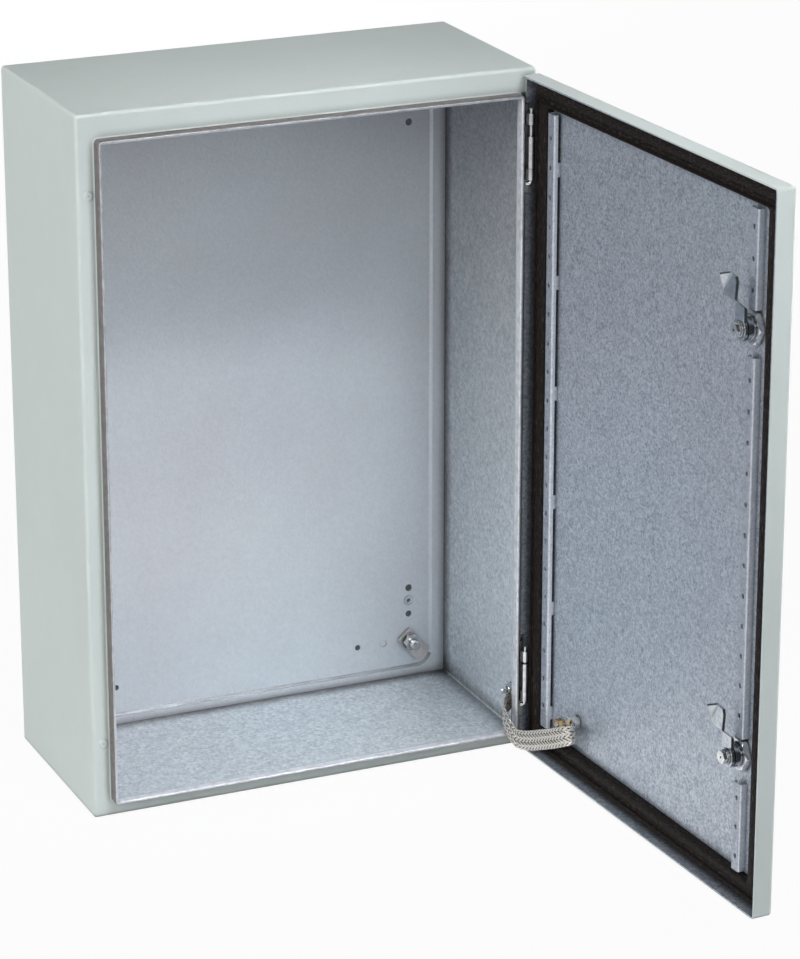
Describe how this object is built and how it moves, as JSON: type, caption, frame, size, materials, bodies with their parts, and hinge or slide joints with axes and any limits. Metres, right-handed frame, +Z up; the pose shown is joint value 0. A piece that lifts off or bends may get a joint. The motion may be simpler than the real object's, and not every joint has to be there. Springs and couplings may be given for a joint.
{
  "type": "steel wall enclosure",
  "caption": "Wall-mounted sheet steel enclosure, 400 x 600 x 200 mm, with a hinged door standing open, two quarter-turn locks, gasket, door stiffeners and earth braid.",
  "frame": {"origin": "on the wall plane, at the centre of the four wall fixing holes", "axes": "+X to the right seen from the front, +Y back into the wall, +Z up"},
  "size_m": [0.4229, 0.5763, 0.6],
  "materials": {
    "painted_sheet": "satin",
    "galvanised_sheet": "satin",
    "zinc_plated_steel": "gloss",
    "die_cast_zinc": "satin",
    "foam_gasket": "matte",
    "tinned_braid": "satin",
    "brass": "satin",
    "grey_tag": "satin"
  },
  "bodies": {
    "root": {"body_shell": "painted_sheet", "back_panel": "galvanised_sheet", "rivet_nut": "zinc_plated_steel", "hinge_bracket_upper": "zinc_plated_steel", "hinge_bracket_lower": "zinc_plated_steel", "hinge_pin_upper": "zinc_plated_steel", "hinge_pin_lower": "zinc_plated_steel", "corner_earth_stud": "zinc_plated_steel", "earth_tag": "grey_tag", "corner_earth_washer": "zinc_plated_steel", "corner_earth_nut": "zinc_plated_steel", "body_braid_stud": "zinc_plated_steel", "body_braid_lug": "zinc_plated_steel", "body_braid_washer": "zinc_plated_steel", "body_braid_nut": "zinc_plated_steel", "earth_braid": "tinned_braid"},
    "door": {"door_panel": "painted_sheet", "hinge_side_rail": "galvanised_sheet", "lock_side_rail_upper": "galvanised_sheet", "lock_side_rail_middle": "galvanised_sheet", "lock_side_rail_lower": "galvanised_sheet", "door_hinge_leaf_upper": "zinc_plated_steel", "door_hinge_leaf_lower": "zinc_plated_steel", "lock_nut_upper": "zinc_plated_steel", "lock_nut_lower": "zinc_plated_steel", "door_earth_stud": "zinc_plated_steel", "door_braid_lug": "zinc_plated_steel", "door_earth_washer": "zinc_plated_steel", "lock_housing_upper": "die_cast_zinc", "lock_housing_lower": "die_cast_zinc", "door_gasket": "foam_gasket", "door_earth_nut": "brass"},
    "upper_lock": {"lock_insert_upper": "die_cast_zinc", "lock_cam_upper": "die_cast_zinc", "cam_washer_upper": "zinc_plated_steel", "cam_screw_upper": "zinc_plated_steel"},
    "lower_lock": {"lock_insert_lower": "die_cast_zinc", "lock_cam_lower": "die_cast_zinc", "cam_washer_lower": "zinc_plated_steel", "cam_screw_lower": "zinc_plated_steel"}
  },
  "joints": [
    {"name": "door_swing", "type": "hinge", "parent": "root", "child": "door", "pos_m": [0.191, -0.1895, 0], "axis": [0, 0, 1], "range_deg": [-93, 27], "deforming": ["earth_braid"]},
    {"name": "upper_lock_turn", "type": "hinge", "parent": "door", "child": "upper_lock", "pos_m": [0.20924, -0.52801, 0.175], "axis": [0.9986, 0.0523, 0], "range_deg": [0, 90]},
    {"name": "lower_lock_turn", "type": "hinge", "parent": "door", "child": "lower_lock", "pos_m": [0.20924, -0.52801, -0.175], "axis": [0.9986, 0.0523, 0], "range_deg": [0, 90]}
  ]
}
